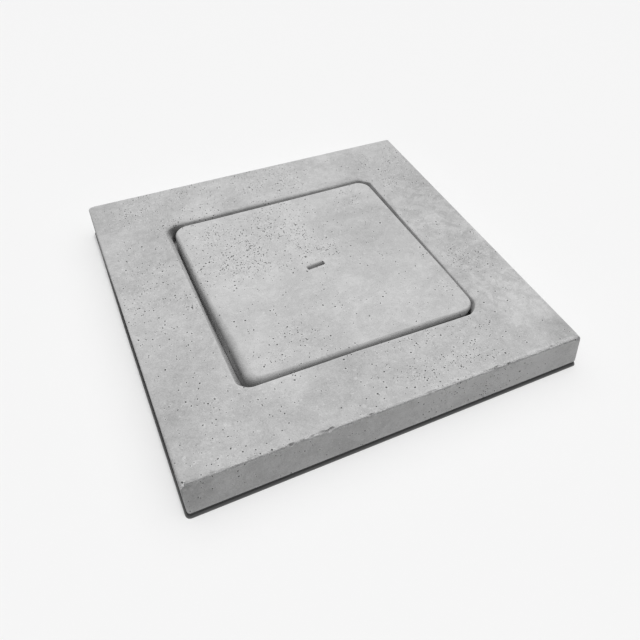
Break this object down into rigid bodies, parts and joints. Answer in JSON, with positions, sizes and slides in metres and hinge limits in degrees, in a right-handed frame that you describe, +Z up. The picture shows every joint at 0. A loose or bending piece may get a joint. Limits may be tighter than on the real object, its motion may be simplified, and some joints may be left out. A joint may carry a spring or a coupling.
{
  "type": "concrete inspection cover",
  "caption": "Square precast concrete cover for an underground chamber: a thick frame slab whose splayed mouth holds a loose rounded lid with a lifting slot, on a thin rubber seating strip.",
  "frame": {"origin": "middle of the underside, on the plane that the seating strip rests on", "axes": "+Z up, out of the walked-on face; X and Y along the slab's sides; the lifting slot lies nearly along X"},
  "size_m": [0.706, 0.706, 0.07],
  "materials": {
    "frame_concrete": "light grey precast concrete, steel-mould face with small air holes and a hand-trowelled arris",
    "lid_concrete": "light grey precast concrete, slightly paler and smoother, with clusters of small air holes",
    "seating_rubber": "matt black closed-cell rubber strip"
  },
  "bodies": {
    "root": {"frame_slab": "frame_concrete", "lid": "lid_concrete", "seating_strip": "seating_rubber"}
  },
  "joints": []
}
